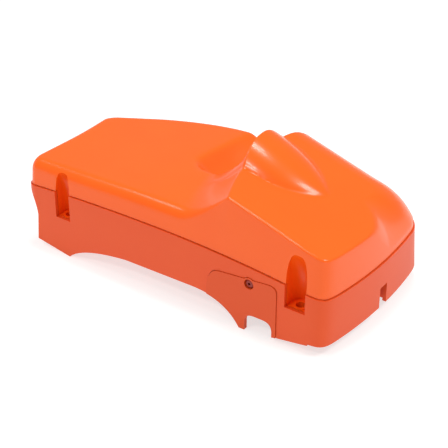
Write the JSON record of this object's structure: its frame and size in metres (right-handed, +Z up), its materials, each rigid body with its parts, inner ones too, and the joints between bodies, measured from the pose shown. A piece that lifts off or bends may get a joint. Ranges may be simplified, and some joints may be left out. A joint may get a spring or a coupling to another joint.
{
  "type": "air filter housing",
  "caption": "Orange moulded air filter housing in two shells, open underneath, with lift-off top cover, screw wells, side blanking plate, round pleated filter, tray and intake boot.",
  "frame": {"origin": "middle of the base, at the level of the lowest feet of the lower shell", "axes": "+X towards the tall end with the slot, along the longest side; the side with the blanking plate faces -Y; +Z up"},
  "size_m": [0.282, 0.1436, 0.121],
  "materials": {
    "cover_shell": "satin gloss orange moulding",
    "skirt_shell": "satin orange moulding",
    "plate_shell": "fine satin orange moulding",
    "red_plastic": "deep red moulded screw",
    "black_steel": "black oxide screw steel",
    "zinc": "zinc plated",
    "brass": "turned brass",
    "black_plastic": "glass-filled moulding",
    "rubber": "matt moulded rubber",
    "polyurethane": "cast polyurethane",
    "filter_paper": "pleated filter paper"
  },
  "bodies": {
    "housing": {"lower_skirt": "skirt_shell", "filter_tray": "black_plastic", "centre_stud": "zinc", "intake_boot": "rubber", "boot_clamp": "zinc", "boot_clamp_screw": "zinc", "threaded_insert_1": "brass", "threaded_insert_2": "brass", "threaded_insert_3": "brass", "threaded_insert_4": "brass", "tray_screw_1": "zinc", "tray_screw_2": "zinc", "tray_screw_3": "zinc", "tray_screw_4": "zinc"},
    "cover": {"top_cover": "cover_shell"},
    "filter": {"filter_base_seal": "polyurethane", "filter_pleats": "filter_paper", "filter_cage": "zinc", "filter_top_cap": "polyurethane", "cap_washer": "rubber"},
    "knob": {"clamp_knob": "black_plastic"},
    "plate": {"side_plate": "plate_shell"},
    "plate_screw": {"side_plate_screw": "red_plastic"},
    "screw_1": {"cover_screw_1": "black_steel", "screw_washer_1": "zinc"},
    "screw_2": {"cover_screw_2": "black_steel", "screw_washer_2": "zinc"},
    "screw_3": {"cover_screw_3": "black_steel", "screw_washer_3": "zinc"},
    "screw_4": {"cover_screw_4": "black_steel", "screw_washer_4": "zinc"}
  },
  "joints": [
    {"name": "cover_lift", "type": "slide", "parent": "housing", "child": "cover", "axis": [0, 0, 1], "range_m": [0, 0.14]},
    {"name": "filter_lift", "type": "slide", "parent": "housing", "child": "filter", "axis": [0, 0, 1], "range_m": [0, 0.07]},
    {"name": "knob_turn", "type": "hinge", "parent": "filter", "child": "knob", "pos_m": [0.07501, 0, 0.08], "axis": [0, 0, 1], "continuous": true},
    {"name": "plate_pull", "type": "slide", "parent": "housing", "child": "plate", "axis": [0, -1, 0], "range_m": [0, 0.03]},
    {"name": "plate_screw_turn", "type": "hinge", "parent": "plate", "child": "plate_screw", "pos_m": [0.07247, -0.07, 0.0408], "axis": [0, -1, 0], "continuous": true},
    {"name": "screw_1_turn", "type": "hinge", "parent": "cover", "child": "screw_1", "pos_m": [-0.10378, -0.063, 0.02], "axis": [0, 0, 1], "continuous": true},
    {"name": "screw_2_turn", "type": "hinge", "parent": "cover", "child": "screw_2", "pos_m": [0.11083, -0.063, 0.02], "axis": [0, 0, 1], "continuous": true},
    {"name": "screw_3_turn", "type": "hinge", "parent": "cover", "child": "screw_3", "pos_m": [-0.10016, 0.04086, 0.02], "axis": [0, 0, 1], "continuous": true},
    {"name": "screw_4_turn", "type": "hinge", "parent": "cover", "child": "screw_4", "pos_m": [0.10583, 0.063, 0.02], "axis": [0, 0, 1], "continuous": true}
  ],
  "couplings": [
    {"joint": "filter_lift", "follows": "cover_lift", "ratio": 0.5}
  ]
}
